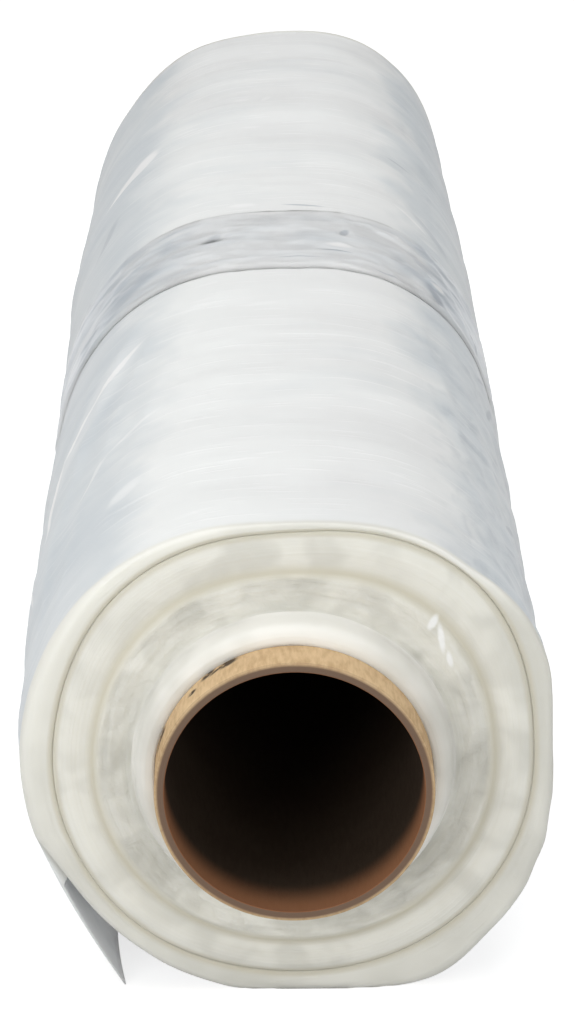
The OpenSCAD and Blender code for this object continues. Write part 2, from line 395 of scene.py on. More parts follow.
# Share of a spot's radius over which it fades, and how much wider than its full strength a stroke is
SPOT_SOFT, STROKE_SPREAD = 0.6, 1.4
# One turn of the spiral on the core's outer ply in metres along it, and half its seam as a share of the turn
SPIRAL_LEAD, SEAM_HALF = 0.118, 0.004
# How much of the grey of the painted shade the film takes on its sides, which are painted darker than its top
SIDE_SHADE_SHARE = 0.85
# Depth in the bore over which its brown turns to the near black of painted shade, in metres
BORE_SHADE_FADE = (0.002, 0.019)
# Radii at which the wrap, the band and the wound turns are unrolled onto their maps, in millimetres
WRAP_MAP_R, BAND_MAP_R, FACE_MAP_R = 79.0, 80.0, 60.0
# Scuffs on the core's upper left: angle from the top, distance out from the film, half sizes and tilt
SCUFFS = (
    (-37.5, 11.8, (3.6, 2.2), 25), (-27.5, 12.2, (4.2, 2.4), 20), (-32.5, 12.4, (4.6, 0.9), 30),
    (-46.2, 15.4, (2.2, 1.9), 0), (-70, 12.8, (3.8, 2.6), 0), (-75, 13.8, (3.0, 1.6), 0),
)
# Painted highlights in the wrap, as light strokes: start and end, each as angle from the top and distance
# behind the near end, half width, strength
WRAP_HIGHLIGHTS = (
    ((-71, 106), (-62, 161), 1.3, 0.9), ((-63, 158), (-51, 180), 1.4, 0.9),
    ((-53, 176), (-36, 214), 1.5, 0.8),
    ((-74.5, 66), (-79, 122), 1.2, 0.8), ((-55, 90), (-45.5, 119), 1.1, 0.5),
    ((-47, 117), (-30, 130), 1.1, 0.5),
    ((-69, 125), (-35, 226), 8.0, 0.35), ((-42, 62), (-37, 68), 3.5, 0.5),
    ((-58.5, 443), (-48, 452), 1.5, 1.0),
    ((-54, 448), (-40, 463), 4.6, 1.0), ((-45, 455), (-40, 469), 5.0, 1.0),
    ((-13, 508), (-9.5, 508), 1.6, 0.9),
    ((-4.5, 503), (-2.5, 510), 1.6, 0.8), ((13, 486), (22, 488), 1.0, 0.8), ((-11, 461), (-5, 461), 1.3, 0.7),
    ((-14, 345), (-8, 345), 2.4, 0.9), ((32, 372), (44, 357), 1.3, 0.8), ((70, 240), (68, 262), 1.0, 0.6),
)
# Painted shade in the wrap's creases, as dark strokes: as above
WRAP_CREASE_SHADES = (
    ((0, 344), (13, 341), 0.9, 0.6), ((38, 380), (52, 352), 3.0, 0.35), ((62, 205), (66, 226), 1.6, 0.5),
    ((58, 232), (64, 246), 1.4, 0.5), ((60, 92), (66, 104), 1.5, 0.45), ((55, 58), (61, 66), 2.0, 0.4),
    ((64, 24), (67, 38), 1.4, 0.4), ((33, 441), (41, 439), 1.0, 0.4), ((-60, 380), (-50, 406), 2.4, 0.3),
)
# Painted highlights and painted crease shade in the band, as light and dark strokes: as above
BAND_HIGHLIGHTS = (
    ((13, 288), (18, 287), 1.8, 0.9), ((42.5, 287), (45, 287), 2.0, 0.8), ((-8, 330), (2, 332), 2.5, 0.5),
    ((-40, 318), (-24, 322), 2.5, 0.4), ((-30, 274), (-14, 276), 2.0, 0.4), ((52, 300), (62, 270), 1.0, 0.5),
    ((26, 322), (34, 318), 2.2, 0.4),
)
BAND_CREASE_SHADES = (
    ((-21, 298), (-18, 306), 2.6, 0.45), ((-3, 272), (12, 272), 0.5, 0.6), ((9, 283), (19, 281), 0.8, 0.8),
    ((16.5, 302), (17.5, 309), 1.6, 0.7), ((41, 283), (45, 272), 2.8, 0.9), ((47, 292), (52, 284), 2.2, 0.5),
    ((54, 296), (62, 262), 1.1, 0.8), ((36, 310), (42, 300), 3.0, 0.4), ((-56, 300), (-48, 312), 3.0, 0.4),
    ((24, 268), (34, 266), 1.0, 0.5),
)
# Painted highlights, as light streaks in the face's crumpled zone: place across the roll from the axis, half
# sizes, turn
FACE_HIGHLIGHTS = (
    ((43.5, 39.5), (1.3, 6.0), 8), ((41.0, 44.5), (1.6, 3.4), -30), ((46.0, 33.0), (1.2, 3.4), 12),
)
# Finish of all the film: soft sheen, and some light that goes through its layers
FILM_BODY = {
    "Specular IOR Level": 0.3, "Coat Weight": 0.05, "Coat Roughness": 0.15,
    "Subsurface Weight": 0.85, "Subsurface Scale": 0.003, "Subsurface Radius": (1.0, 1.0, 1.0),
}
BAND_BODY = {**FILM_BODY, "Coat Weight": 0.14, "Coat Roughness": 0.1}


def milky_film(colours):
    """Translucent white film: white on top, greyer on its sides by painted shade, crumpled at its sides, with
    painted highlights and painted shade in its creases.
    """
    look = Look("milky_film")
    place = look.map_place()
    clouds = look.noise(look.object_place(), scale=18.0, detail=3.0, roughness=0.55)
    bands = look.streaks(place, (9, 75, 1), detail=3.0, roughness=0.55)
    fine = look.streaks(place, (42, 420, 1), detail=1.0, roughness=0.5)
    dashes = look.soft_step(fine, 0.58, 0.70)
    crumples = look.streaks(place, (120, 80, 1), detail=3.0, roughness=0.55, distortion=0.4,
                            turn=(0, 0, 0.45))
    pleats = look.streaks(place, (26, 120, 1), detail=2.0, roughness=0.55, turn=(0, 0, 0.75))
    painted_side_shade, rumpled = look.mark("painted_side_shade"), look.mark("rumpled")
    patchy = look.times(look.less(clouds, 0.5), 1.1)
    share = look.times_plus(look.less(bands, 0.5), 0.35, patchy)
    # Painted shade: the film turns grey on its sides, away from its lit top
    share = look.math("ADD", look.times(painted_side_shade, SIDE_SHADE_SHARE), share, clamp=True)
    colour = look.blend(share, colours.film_white, colours.film_side_shade)
    # Painted shade in the crumples at the right of the wrap
    crumple_shade = look.times(look.times(rumpled, look.soft_step(crumples, 0.42, 0.78)), 0.34)
    colour = look.blend(crumple_shade, colour, colours.painted_crease_shade)
    # Painted highlights: light strokes, and glints on the fine dashes, weaker on the sides
    painted_glints = look.times(dashes, look.less(0.5, look.times(painted_side_shade, 0.35)))
    light = look.math("ADD", look.strokes(place, WRAP_MAP_R, WRAP_HIGHLIGHTS), painted_glints, clamp=True)
    colour = look.blend(light, colour, colours.painted_highlight)
    # Painted shade in the wrap's creases
    colour = look.blend(look.strokes(place, WRAP_MAP_R, WRAP_CREASE_SHADES), colour, colours.painted_crease_shade)
    worn = look.times(look.soft_step(clouds, 0.4, 0.65), 0.6)
    edge = look.blend(worn, colours.edge_white, colours.edge_grey)
    edge = look.blend(look.mark("groove"), edge, colours.edge_beige)
    colour = look.blend(look.mark("edge"), colour, edge)
    height = look.times_plus(look.mark("pulled"), pleats, look.times(bands, 0.45))
    height = look.times_plus(look.times(crumples, rumpled), 0.9, height)
    height = look.times_plus(dashes, 0.12, height)
    return look.finish(colour, 0.45, look.bump(height, distance=0.0008, strength=0.6), FILM_BODY)


def wound_edges(colours):
    """The film's edges, turn on turn: fine lines round the face, beige grooves, patches of trapped air and
    painted highlights on its crumples.
    """
    look = Look("wound_edges")
    place = look.map_place()
    body = look.object_place()
    lines = look.streaks(place, (9, 1400, 1), detail=2.0, roughness=0.6)
    patches = look.noise(body, scale=62.0, detail=2.0, roughness=0.5, distortion=0.5)
    crumples = look.noise(body, scale=130.0, detail=3.0, roughness=0.6, distortion=1.2)
    crumpled = look.mark("crumpled")
    cells = look.node("ShaderNodeTexVoronoi", {"Vector": body, "Scale": 95.0, "Smoothness": 0.35},
                      feature="SMOOTH_F1")
    tone = look.node("ShaderNodeSeparateColor", {"Color": cells.outputs["Color"]}).outputs[0]
    uneven_grey = look.times(look.soft_step(patches, 0.42, 0.7), 0.55)
    grey = look.times_plus(look.less(tone, 0.35), look.times(crumpled, 0.65),
                     uneven_grey, clamp=True)
    grey = look.times_plus(crumpled, 0.26, grey, clamp=True)
    base = look.blend(grey, colours.edge_white, colours.edge_grey)
    beige = look.times(look.less(0.6, lines, clamp=True), 0.35)
    base = look.blend(beige, base, colours.edge_beige)
    colour = look.blend(look.mark("groove"), base, colours.edge_beige)
    # Painted highlights on the crumpled zone of the face
    light = [look.spot(body_map(look), middle, half, turn) for middle, half, turn in FACE_HIGHLIGHTS]
    colour = look.blend(look.times(look.total(light), 0.8), colour, colours.painted_highlight)
    height = look.times_plus(look.times(crumples, crumpled), 1.6,
                       look.times(lines, 0.4))
    return look.finish(colour, 0.5, look.bump(height, distance=0.0008, strength=0.5), FILM_BODY)


def over_axis(look, split):
    """Height over the core's axis."""
    return look.less(split["Z"], AXIS_H * MM)


def body_map(look):
    """The piece's own place seen along the roll: X to the right, and the height over the axis."""
    split = look.node("ShaderNodeSeparateXYZ", {"Vector": look.object_place()}).outputs
    return look.node("ShaderNodeCombineXYZ", {"X": split["X"], "Y": over_axis(look, split)}).outputs[0]


def collar_film(colours):
    """The collar's film: smooth and tight, with faint lines round it."""
    look = Look("collar_film")
    lines = look.streaks(look.map_place(), (9, 700, 1), detail=2.0, roughness=0.55)
    clouds = look.noise(look.object_place(), scale=45.0, detail=2.0, roughness=0.5)
    cloudy = look.soft_step(clouds, 0.35, 0.7)
    share = look.times_plus(look.less(lines, 0.5), 0.5, cloudy, clamp=True)
    colour = look.blend(look.times(share, 0.55), colours.collar_white, colours.edge_grey)
    colour = look.blend(look.mark("groove"), colour, colours.edge_beige)
    return look.finish(colour, 0.45, look.bump(lines, distance=0.0003, strength=0.5), FILM_BODY)


def kraft_board(colours):
    """Spiral-wound cardboard: paper fibre, the outer ply's seam, plies on the cut end, dark scuffs and
    painted shade deep in the bore.
    """
    look = Look("kraft_board")
    place = look.object_place()
    split = look.node("ShaderNodeSeparateXYZ", {"Vector": place}).outputs
    up = over_axis(look, split)
    squares = look.math("ADD", look.times(split["X"], split["X"]), look.times(up, up))
    radius = look.math("SQRT", squares)
    turn = look.math("ARCTAN2", split["X"], up)
    fibre = look.streaks(place, (700, 150, 700), detail=3.0, roughness=0.6)
    blotch = look.noise(place, scale=42.0, detail=3.0, roughness=0.6)
    wound = look.math("DIVIDE", turn, 2 * math.pi)
    spiral = look.math("FRACT", look.times_plus(split["Y"], 1 / SPIRAL_LEAD, wound))
    seam = look.math("COMPARE", spiral, 0.5, SEAM_HALF)
    ply_place = look.node("ShaderNodeCombineXYZ", {"X": radius}).outputs[0]
    plies = look.noise(ply_place, scale=1900.0, detail=1.0, roughness=0.5)
    core_end = (FILM_W / 2 + CORE_OUT) * MM
    from_middle = look.math("ABSOLUTE", split["Y"])
    at_end = look.math("COMPARE", from_middle, core_end, 0.0004)
    outside = look.math("GREATER_THAN", radius, (CORE_R - 0.25) * MM)
    inside = look.math("LESS_THAN", radius, (CORE_BORE_R + 0.25) * MM)
    mottle = look.times_plus(fibre, 0.5, look.times(blotch, 0.5))
    base = look.blend(look.soft_step(mottle, 0.36, 0.64), colours.board_dark, colours.board_light)
    seam = look.times(seam, outside)
    base = look.blend(look.times(seam, 0.5), base, colours.board_scuff)
    inner_plies = look.soft_step(radius, (CORE_R - 0.3) * MM, (CORE_R - 1.6) * MM)
    end_share = look.times(look.times_plus(plies, 0.5, inner_plies, clamp=True), at_end)
    base = look.blend(end_share, base, colours.board_end)
    # Painted shade: deep in the bore the board turns near black, away from its ends
    depth = look.less(core_end, from_middle)
    bore = look.blend(look.soft_step(depth, *BORE_SHADE_FADE), colours.board_inside, colours.bore_painted_shade)
    base = look.blend(look.times(inside, 0.96), base, bore)
    arc = look.times(turn, CORE_R * MM)
    unrolled = look.node("ShaderNodeCombineXYZ", {"X": arc, "Y": split["Y"]}).outputs[0]
    scuffs = look.total([look.spot(unrolled, (math.radians(angle) * CORE_R, -FILM_W / 2 - out), half, tilt)
                         for angle, out, half, tilt in SCUFFS])
    ragged = look.noise(place, scale=420.0, detail=2.0, roughness=0.5)
    torn = look.times(scuffs, look.soft_step(ragged, 0.2, 0.45))
    colour = look.blend(look.times(torn, 0.97), base, colours.board_scuff)
    height = look.times_plus(look.times(plies, at_end), 1.2, fibre)
    height = look.less(height, look.times_plus(torn, 1.5, seam))
    bump = look.bump(height, distance=0.0003, strength=0.6)
    return look.finish(colour, 0.85, bump, {"Specular IOR Level": 0.25})


def clear_band_film(colours):
    """Clear stretch film in several turns: soft cross creases, blisters of air and a cool grey cast, with
    painted side shade, painted highlights and painted crease shade.
    """
    look = Look("clear_band_film")
    place = look.map_place()
    creases = look.streaks(place, (16, 95, 1), detail=3.0, roughness=0.55, distortion=0.5, turn=(0, 0, 0.1))
    blotches = look.noise(place, scale=34.0, detail=2.0, roughness=0.5, distortion=0.6)
    fine = look.streaks(place, (30, 260, 1), detail=2.0, roughness=0.5)
    # Painted shade: the band turns grey on its sides, as the film beneath it does
    grey = look.times(look.mark("painted_side_shade"), SIDE_SHADE_SHARE)
    share = look.times_plus(look.less(creases, 0.5), 1.0, grey)
    share = look.times_plus(look.less(blotches, 0.45), 1.6, share, clamp=True)
    colour = look.blend(share, colours.band_white, colours.band_grey)
    beneath = look.blend(grey, colours.film_white, colours.film_side_shade)
    colour = look.blend(look.mark("thin"), colour, beneath)
    # Painted highlights on the band's blisters and creases
    colour = look.blend(look.strokes(place, BAND_MAP_R, BAND_HIGHLIGHTS), colour, colours.painted_highlight)
    # Painted shade in the band's creases and beside its blisters
    colour = look.blend(look.strokes(place, BAND_MAP_R, BAND_CREASE_SHADES), colour, colours.painted_crease_shade)
    height = look.times_plus(blotches, 0.7, look.times(fine, 0.15))
    height = look.times_plus(creases, 0.8, height)
    return look.finish(colour, 0.3, look.bump(height, distance=0.0009, strength=0.55), BAND_BODY)


def white_floor():
    """Plain white studio floor: it stays white to the camera and keeps the roll's soft shadow."""
    look = Look("white_floor")
    seen = look.node("ShaderNodeLightPath").outputs
    direct = look.math("MAXIMUM", seen["Is Camera Ray"], seen["Is Glossy Ray"])
    direct = look.math("MAXIMUM", direct, seen["Is Transmission Ray"])
    strength = look.times(direct, FLOOR_GLOW)
    glow = look.node("ShaderNodeEmission", {"Color": (1, 1, 1, 1), "Strength": strength})
    look.finish((FLOOR_GREY, FLOOR_GREY, FLOOR_GREY), 0.9)
    both = look.node("ShaderNodeAddShader", {0: look.shader.outputs[0], 1: glow.outputs[0]})
    look.tree.links.new(both.outputs[0], look.tree.nodes["Material Output"].inputs["Surface"])
    return look.material


# Settings

def colour_property(name, text, value):
    return FloatVectorProperty(name=name, description=text, subtype="COLOR", size=3, min=0, max=1,
                               default=value)


def length_property(name, text, value):
    return FloatProperty(name=name, description=text, unit="LENGTH", default=value)


class FilmRollColours(PropertyGroup):
    """Colours of the roll's films and of its cardboard."""

    # Below: the film's own colour, then the grey of the painted shade on its sides
    film_white: colour_property("Film white", "Milky film where its layers lie close", (0.86, 0.875, 0.865))
    film_side_shade: colour_property("Film grey", "Milky film with air beneath it", (0.62, 0.665, 0.695))
    # The colour of the painted highlights on the film, the band and the face
    painted_highlight: colour_property("Film shine", "Streaks where the film is pulled taut", (0.92, 0.93, 0.925))
    # The colour of painted shade in the creases and crumples of the film and the band
    painted_crease_shade: colour_property("Film crease", "Dark creases in the film", (0.36, 0.40, 0.45))
    collar_white: colour_property("Collar white", "Film of the collar", (0.86, 0.85, 0.80))
    edge_white: colour_property("Edge white", "Wound edges where they lie smooth", (0.82, 0.815, 0.755))
    edge_grey: colour_property("Edge grey", "Wound edges where they are crumpled", (0.61, 0.605, 0.55))
    edge_beige: colour_property("Edge beige", "Grooves between the packs of turns", (0.64, 0.61, 0.50))
    board_light: colour_property("Board light", "Light colour of the cardboard", (0.69, 0.50, 0.29))
    board_dark: colour_property("Board dark", "Dark colour of the cardboard", (0.52, 0.35, 0.19))
    board_end: colour_property("Board end", "Cut end of the core", (0.17, 0.11, 0.075))
    board_inside: colour_property("Board inside", "The core's bore near its ends", (0.26, 0.11, 0.05))
    # The colour of painted shade deep in the bore, away from its ends
    bore_painted_shade: colour_property("Bore deep", "The core's bore away from its ends", (0.012, 0.006, 0.004))
    board_scuff: colour_property("Board scuff", "Scuffs and the seam of the board", (0.07, 0.05, 0.035))
    band_white: colour_property("Band white", "The band's film where it shines", (0.82, 0.85, 0.865))
    band_grey: colour_property("Band grey", "The band's film over hollow places", (0.5, 0.55, 0.6))


class FilmRollSizes(PropertyGroup):
    """Sizes of the core and of the studio."""

    bore_radius: length_property("Bore radius", "Radius of the core's bore", CORE_BORE_R * MM)
    wall: length_property("Wall", "Wall of the core", (CORE_R - CORE_BORE_R) * MM)
    core_length: length_property("Core length", "Length of the core",
                                 float(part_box("core")[1][1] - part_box("core")[0][1]))
    rim_rounding: length_property("Rim rounding", "Rounding of the core's cut rims", 0.0004)
    axis_height: length_property("Axis height", "Height of the core's axis over the floor", AXIS_H * MM)
    floor_size: length_property("Floor size", "Side of the studio floor", 9.0)


# Pieces

# Columns round the core, and segments of each rounded rim
CORE_COLUMNS, RIM_SEGMENTS = 240, 4


def core_tree():
    """Geometry Nodes for a tube along Y: a rounded wall swept round a circle."""
    tree = bpy.data.node_groups.new("core_tube", "GeometryNodeTree")
    for name in ("Bore Radius", "Wall", "Length", "Rim Rounding", "Axis Height"):
        tree.interface.new_socket(name=name, in_out="INPUT", socket_type="NodeSocketFloat")
    tree.interface.new_socket(name="Board", in_out="INPUT", socket_type="NodeSocketMaterial")
    tree.interface.new_socket(name="Geometry", in_out="OUTPUT", socket_type="NodeSocketGeometry")
    given = tree.nodes.new("NodeGroupInput").outputs

    def node(kind, inputs, **settings):
        return add_node(tree, kind, inputs, **settings).outputs[0]

    half_wall = node("ShaderNodeMath", {0: given["Wall"], 1: 0.5}, operation="MULTIPLY")
    middle = node("ShaderNodeMath", {0: given["Bore Radius"], 1: half_wall}, operation="ADD")
    path = node("GeometryNodeCurvePrimitiveCircle", {"Resolution": CORE_COLUMNS, "Radius": middle})
    wall = node("GeometryNodeCurvePrimitiveQuadrilateral",
                {"Width": given["Wall"], "Height": given["Length"]})
    rounding = {"Curve": wall, "Count": RIM_SEGMENTS, "Radius": given["Rim Rounding"]}
    rounded = node("GeometryNodeFilletCurve", rounding, mode="POLY")
    tube = node("GeometryNodeCurveToMesh", {"Curve": path, "Profile Curve": rounded})
    lift = node("ShaderNodeCombineXYZ", {"Z": given["Axis Height"]})
    laid = node("GeometryNodeTransform",
                {"Geometry": tube, "Rotation": (math.pi / 2, 0, 0), "Translation": lift})
    real = node("GeometryNodeRealizeInstances", {"Geometry": laid})
    board = node("GeometryNodeSetMaterial", {"Geometry": real, "Material": given["Board"]})
    add_node(tree, "NodeGroupOutput", {"Geometry": board})
    return tree


def plain_mesh_of(name, tree, values):
    """Runs a tree with named inputs on an empty mesh, and keeps the result as a plain mesh."""
    holder = bpy.data.objects.new(name, bpy.data.meshes.new(name))
    bpy.context.collection.objects.link(holder)
    modifier = holder.modifiers.new("build", "NODES")
    modifier.node_group = tree
    for item in tree.interface.items_tree:
        if item.in_out == "INPUT":
            modifier[item.identifier] = values[item.name]
    bpy.context.view_layer.update()
    built = bpy.data.meshes.new_from_object(holder.evaluated_get(bpy.context.evaluated_depsgraph_get()))
    holder.modifiers.remove(modifier)
    holder.data = built
    return holder


def show(piece, node):
    """Makes a piece ride on the body and hides the CAD node that it stands for."""
    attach(piece, "root")
    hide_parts(node)


class FILMROLL_OT_core(Operator):
    """Make the cardboard core"""

    bl_idname = "film_roll.core"
    bl_label = "Cardboard core"

    def execute(self, context):
        sizes, colours = context.scene.film_roll_sizes, context.scene.film_roll_colours
        piece = plain_mesh_of("cardboard_core", core_tree(), {
            "Bore Radius": sizes.bore_radius, "Wall": sizes.wall, "Length": sizes.core_length,
            "Rim Rounding": sizes.rim_rounding, "Axis Height": sizes.axis_height,
            "Board": kraft_board(colours),
        })
        if len(piece.data.polygons) < CORE_COLUMNS * RIM_SEGMENTS:
            raise RuntimeError("the core's tube wasn't built")
        piece.data.polygons.foreach_set("use_smooth", np.ones(len(piece.data.polygons), dtype=bool))
        show(piece, "core")
        return {"FINISHED"}


# Profile of the wound face, from the core outwards: unsquashed radius, and distance behind the near end
CUFF = [
    (HOLE_R, -10.5), (42.2, -10.5), (43.5, -10.45), (44.6, -10.0), (45.5, -9.2), (46.3, -8.0), (46.8, -6.4),
    (47.1, -4.6), (47.3, -3.0), (47.6, -2.0), (48.2, -1.55),
]
STEP = [
    (58.0, -1.48), (58.6, -1.35), (59.2, -1.05), (59.8, -0.72), (60.4, -0.45), (61.0, -0.28), (61.6, -0.22),
]
OUTER_EDGE = [(70.6, -0.15), (71.1, 0.0), (TIGHT_R, 0.3)]
INNER_FROM, INNER_TO = 48.9, 57.8
LIP_FROM, LIP_TO, LIP_OUT, LIP_H = 62.1, 70.3, -0.2, 0.65
# Where the hollow of the outer pack starts, and how wide it is
LIP_START, LIP_WIDTH = 62.0, 8.4
# Gap between the rings of the near face, and columns round the turns
RING_GAP, TURNS = 0.6, 330
# Where the crumpled turns start and end, over what they fade, and where the dented outer pack starts
CRUMPLED_FROM, CRUMPLED_TO, CRUMPLED_FADE = 47.6, 59.2, 1.5
PACK_FROM, COLLAR_EDGE = 61.0, 48.0
# Middle and half width of the inner beige groove, and where the outer one starts and is full
INNER_GROOVE, OUTER_GROOVE = (59.9, 2.4), (69.4, 71.2)
# Heights of the crumples, folds, ripples, waves and dents of the face
CRUMPLE_H, FOLDED_H, RIPPLE_H, UNEVEN_SHARE, DENT_H = 0.6, 0.7, 0.2, 0.35, 0.35
# Places of the rings along the tight turns
TURN_RINGS = (6.0, 14.0, FILM_W - 14.0, FILM_W - 6.0, FILM_W - 2.0)
# The far face: its outermost ring, the gap between its rings, and how far in its turns and its collar lie
FAR_RIM_R, FAR_RING_GAP, FAR_IN, FAR_COLLAR_IN = 70.6, 1.2, 0.1, 0.2


def face_profile():
    inner = [(r, -STEP_OUT) for r in np.arange(INNER_FROM, INNER_TO, RING_GAP)]
    lip = [(r, LIP_OUT - LIP_H * math.sin(math.pi * (r - LIP_START) / LIP_WIDTH))
           for r in np.arange(LIP_FROM, LIP_TO, RING_GAP)]
    return CUFF + inner + STEP + lip + OUTER_EDGE


# Unevenness of the face: crumpled turns near the collar, fine ripples, and dents in the outer turns
FACE_CRUMPLES, FACE_FOLDS = SoftNoise(11, 34, 2), SoftNoise(14, 46, 3)
FACE_RIPPLES, LIP_DENTS = SoftNoise(12, 60, 12), SoftNoise(13, 14, 3)


class FILMROLL_OT_turns(Operator):
    """Make the tightly wound turns with both of their faces and the collar"""

    bl_idname = "film_roll.turns"
    bl_label = "Wound turns"

    def execute(self, context):
        colours = context.scene.film_roll_colours
        a = MAP_START + np.arange(TURNS) * 360.0 / TURNS
        rings, arcs, groove, crumpled = [], [], [], []

        def add(r, u, beige, rough):
            rings.append(at(turn_r(r, a), u, a))
            arcs.append(np.stack([np.radians(a) * FACE_MAP_R, np.full(TURNS, r)], -1))
            groove.append(np.full(TURNS, beige))
            crumpled.append(np.full(TURNS, rough))

        for r, u in face_profile():
            v = np.full(TURNS, (r - 47.5) / 11.0)
            loose = np.clip(min(r - CRUMPLED_FROM, CRUMPLED_TO - r) / CRUMPLED_FADE, 0, 1)
            folded = 0.45 - np.abs(FACE_FOLDS(a + 0.6 * (r - 50), v))
            crumples = CRUMPLE_H * FACE_CRUMPLES(a, v) + FOLDED_H * folded + RIPPLE_H * FACE_RIPPLES(a, v)
            push = loose * crumples + (UNEVEN_SHARE if r > COLLAR_EDGE else 0.0) * uneven(r, a)
            dents = LIP_DENTS(a, np.full(TURNS, (r - PACK_FROM) / (TIGHT_R - PACK_FROM)))
            push = push + np.clip((r - PACK_FROM) / 2, 0, 1) * DENT_H * dents
            beige = max(0.0, 1 - abs(r - INNER_GROOVE[0]) / INNER_GROOVE[1]) + 0.9 * smooth(r, *OUTER_GROOVE)
            add(r, u + push, beige, loose)
        for u in TURN_RINGS:
            add(TIGHT_R, u, 0.8, 0.0)
        for r in np.arange(FAR_RIM_R, COLLAR_EDGE, -FAR_RING_GAP):
            add(r, FILM_W - FAR_IN + 0.5 * uneven(r, a), 0.15, 0.3)
        add(COLLAR_R, FILM_W - FAR_COLLAR_IN, 0.1, 0.0)
        add(HOLE_R, FILM_W - FAR_COLLAR_IN, 0.3, 0.0)
        quads = ring_quads(len(rings), TURNS)
        slots = np.ones(len(quads), dtype=int)
        slots[:(len(CUFF) - 1) * TURNS] = 0
        marks = {"groove": np.concatenate(groove), "crumpled": np.concatenate(crumpled)}
        materials = [collar_film(colours), wound_edges(colours)]
        piece = mesh_piece("wound_turns", np.concatenate(rings), quads, materials, np.concatenate(arcs),
                           2 * math.pi * FACE_MAP_R, marks, face_slots=slots)
        show(piece, "film_roll")
        return {"FINISHED"}


# Columns of the loose wrap, from the loose end's root clockwise over the top to its seat, the angle that they
# cover, and columns down the inside and up the outside of the loose end
WRAP_COLUMNS, WRAP_TURN = 262, 348.0
STRIP_IN, STRIP_OUT = 12, 14
# Rings of the wrap between its rims: (first place, last place, number) before, under and behind the band
WRAP_RUNS = (
    (1.5, BAND_START - 4.5, 110), (BAND_START - 2, BAND_END + 2, 12), (BAND_END + 5, FILM_W - 1.5, 118),
)
# Rings of a rim over the film's edge: share of the way out to the wrap's outside, and how far in
RIM_RINGS = ((-0.03, 0.35), (0.05, 0.1), (0.12, 0.0), (0.22, 0.0), (0.34, 0.0), (0.46, 0.0))
# A rim's rounded corner: angles of its rings, where it starts on the way out, its depth as a share of the
# slack, and the run over which the rings behind it lean over
CORNER_ANGLES, CORNER_FROM, CORNER_SHARE, CORNER_LEAN = (20, 40, 58, 74), 0.55, 0.3, 20
# Place at which a rim's width is taken, how far in it lies, and the height of its waves
RIM_AT, RIM_IN, RIM_WAVE = 1.2, 0.4, 0.35
# The wrap's finer forms: low swells, cross pleats, and the waves of its rims
SWELLS, PLEATS, RIM_WAVES = SoftNoise(21, 26, 26), SoftNoise(22, 20, 90), SoftNoise(23, 18, 4)
# Pleats that run slanting from the near end to the band: angle there, turn on the way, half width, height
PULLED_PLEATS = ((284, 40, 3.2, 0.7), (270, 44, 3.0, 0.6), (296, 36, 2.6, 0.4), (310, 30, 3.0, 0.3),
                 (66, -24, 3.5, 0.5), (52, -18, 3.0, 0.35))
# Uneven borders of the painted side shade, and small crumples at the right of the near half
SHADE_BORDER, FINE_BORDER, CRUMPLES = SoftNoise(24, 24, 30), SoftNoise(25, 90, 110), SoftNoise(26, 62, 80)
SWELL_H, PLEAT_H, CRUMPLED_H = 0.35, 0.22, 0.4
# Angles from the top over which the painted side shade sets in at left and right, and how uneven its borders
# are
SHADE_LEFT, SHADE_RIGHT, BORDER_SWING, BORDER_FRAY = (22, 50), (27, 46), 7, 3
# Angles from the top over which the crumples start at the right, end beneath, and start at the left
RUMPLED_RIGHT, RUMPLED_UNDER, RUMPLED_LEFT = (28, 46), (110, 150), (60, 100)
# Places along the roll over which they end before the band and start again behind it, and how strong they are
# there and at the left
RUMPLED_NEAR, RUMPLED_FAR, RUMPLED_FAR_SHARE, RUMPLED_LEFT_SHARE = (236, 262), (330, 352), 0.45, 0.3
# The loose end's least thickness and least gap to the roll, and what both add behind the band
STRIP_THIN, STRIP_OFF, STRIP_FAR_T, STRIP_FAR_OFF = 0.1, 0.12, 0.4, 0.6
# How the loose end's tip and its face sway along the roll: height and length
TIP_SWAY, FACE_SWAY = (0.8, 17.0), (0.5, 31.0)


def wrap_visual_r(u, a):
    """The wrap's outside with the finer swells, pleats and dents that the source leaves out."""
    free = 1 - drawn(u)
    along = u / FILM_W
    r = wrap_r(u, a)
    swells = SWELL_H * SWELLS(a, along) + PLEAT_H * PLEATS(a, along)
    t = np.clip(u / BAND_START, 0, 1)
    pulled = 0.0
    for start, turn, half, height in PULLED_PLEATS:
        pulled = pulled + height * bulge(a, (start + turn * t, half)) * sin_d(180 * np.clip(t, 0, 1)) ** 0.7
    crumpled = CRUMPLED_H * rumpled_at(u, a) * CRUMPLES(a, along)
    return r + free * (swells + pulled + crumpled)


def painted_side_shade_at(u, a):
    """Share of the painted side shade: 0 on the top, 1 on the sides beyond its uneven borders."""
    along = np.clip(u / FILM_W, 0, 1)
    t = from_top(a) + BORDER_SWING * SHADE_BORDER(a, along) + BORDER_FRAY * FINE_BORDER(a, along)
    return np.maximum(smooth(-t, *SHADE_LEFT), smooth(t, *SHADE_RIGHT))


def rumpled_at(u, a):
    """How crumpled the loose film is: most at the right of the near half."""
    t = from_top(a)
    right = smooth(t, *RUMPLED_RIGHT) * (1 - smooth(t, *RUMPLED_UNDER))
    near = 1 - smooth(u, *RUMPLED_NEAR)
    far = RUMPLED_FAR_SHARE * smooth(u, *RUMPLED_FAR)
    return np.clip(right * (near + far) + RUMPLED_LEFT_SHARE * smooth(-t, *RUMPLED_LEFT), 0, 1)


def leaned(s, depth):
    """Places along the roll of the ring at station s. Near the rims it leans over by the corner's depth."""
    near = np.clip(1 - s / CORNER_LEAN, 0, 1)
    far = np.clip(1 - (FILM_W - s) / CORNER_LEAN, 0, 1)
    return s + depth * near - depth * 0.6 * far


